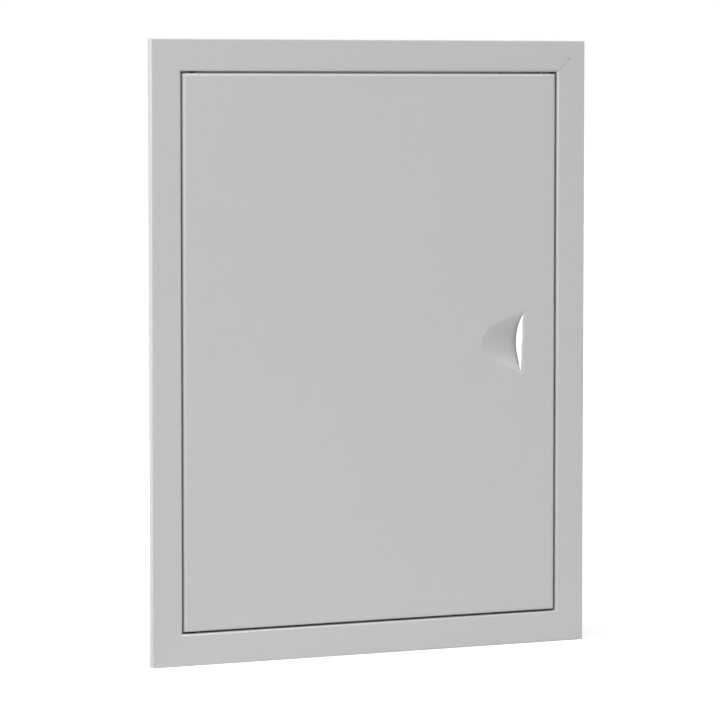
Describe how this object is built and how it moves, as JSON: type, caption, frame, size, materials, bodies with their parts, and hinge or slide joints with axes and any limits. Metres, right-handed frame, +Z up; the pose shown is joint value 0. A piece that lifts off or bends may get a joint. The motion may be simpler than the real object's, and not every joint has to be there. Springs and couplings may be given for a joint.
{
  "type": "metal access panel",
  "caption": "Flush wall access panel of folded grey sheet steel: mitred frame, hidden-pivot door with a pressed finger pull, magnetic catches and wall anchors.",
  "frame": {"origin": "centre of the wall opening, in the plane of the wall's face that the frame's lip rests on", "axes": "+X towards the door's free edge as seen from the front, +Y into the wall, +Z up"},
  "size_m": [0.346, 0.043, 0.446],
  "materials": {
    "frame_coat": "light grey satin powder coat",
    "door_coat": "light grey satin powder coat",
    "zinc_sheet": "zinc plated, dull spangle",
    "bright_steel": "bright zinc plated",
    "bush_plastic": "natural nylon",
    "catch_plastic": "dark grey moulded",
    "magnet": "sintered ferrite, dull"
  },
  "bodies": {
    "frame": {"frame_top_rail": "frame_coat", "frame_bottom_rail": "frame_coat", "frame_left_rail": "frame_coat", "frame_right_rail": "frame_coat", "corner_plate_top_left": "frame_coat", "corner_plate_top_right": "frame_coat", "corner_plate_bottom_left": "frame_coat", "corner_plate_bottom_right": "frame_coat", "upper_pivot_pin": "bright_steel", "lower_pivot_pin": "bright_steel", "upper_catch_housing": "catch_plastic", "lower_catch_housing": "catch_plastic", "upper_catch_magnet": "magnet", "lower_catch_magnet": "magnet", "upper_pole_plates": "bright_steel", "lower_pole_plates": "bright_steel", "catch_screws": "bright_steel", "left_upper_anchor": "zinc_sheet", "left_lower_anchor": "zinc_sheet", "right_upper_anchor": "zinc_sheet", "right_lower_anchor": "zinc_sheet", "anchor_rivets": "bright_steel"},
    "door": {"door_panel": "door_coat", "upper_hinge_bracket": "zinc_sheet", "lower_hinge_bracket": "zinc_sheet", "upper_pivot_bush": "bush_plastic", "lower_pivot_bush": "bush_plastic", "upper_strike_plate": "zinc_sheet", "lower_strike_plate": "zinc_sheet"}
  },
  "joints": [
    {"name": "door_hinge", "type": "hinge", "parent": "frame", "child": "door", "pos_m": [-0.1388, 0, 0], "axis": [0, 0, -1], "range_deg": [0, 120]}
  ]
}
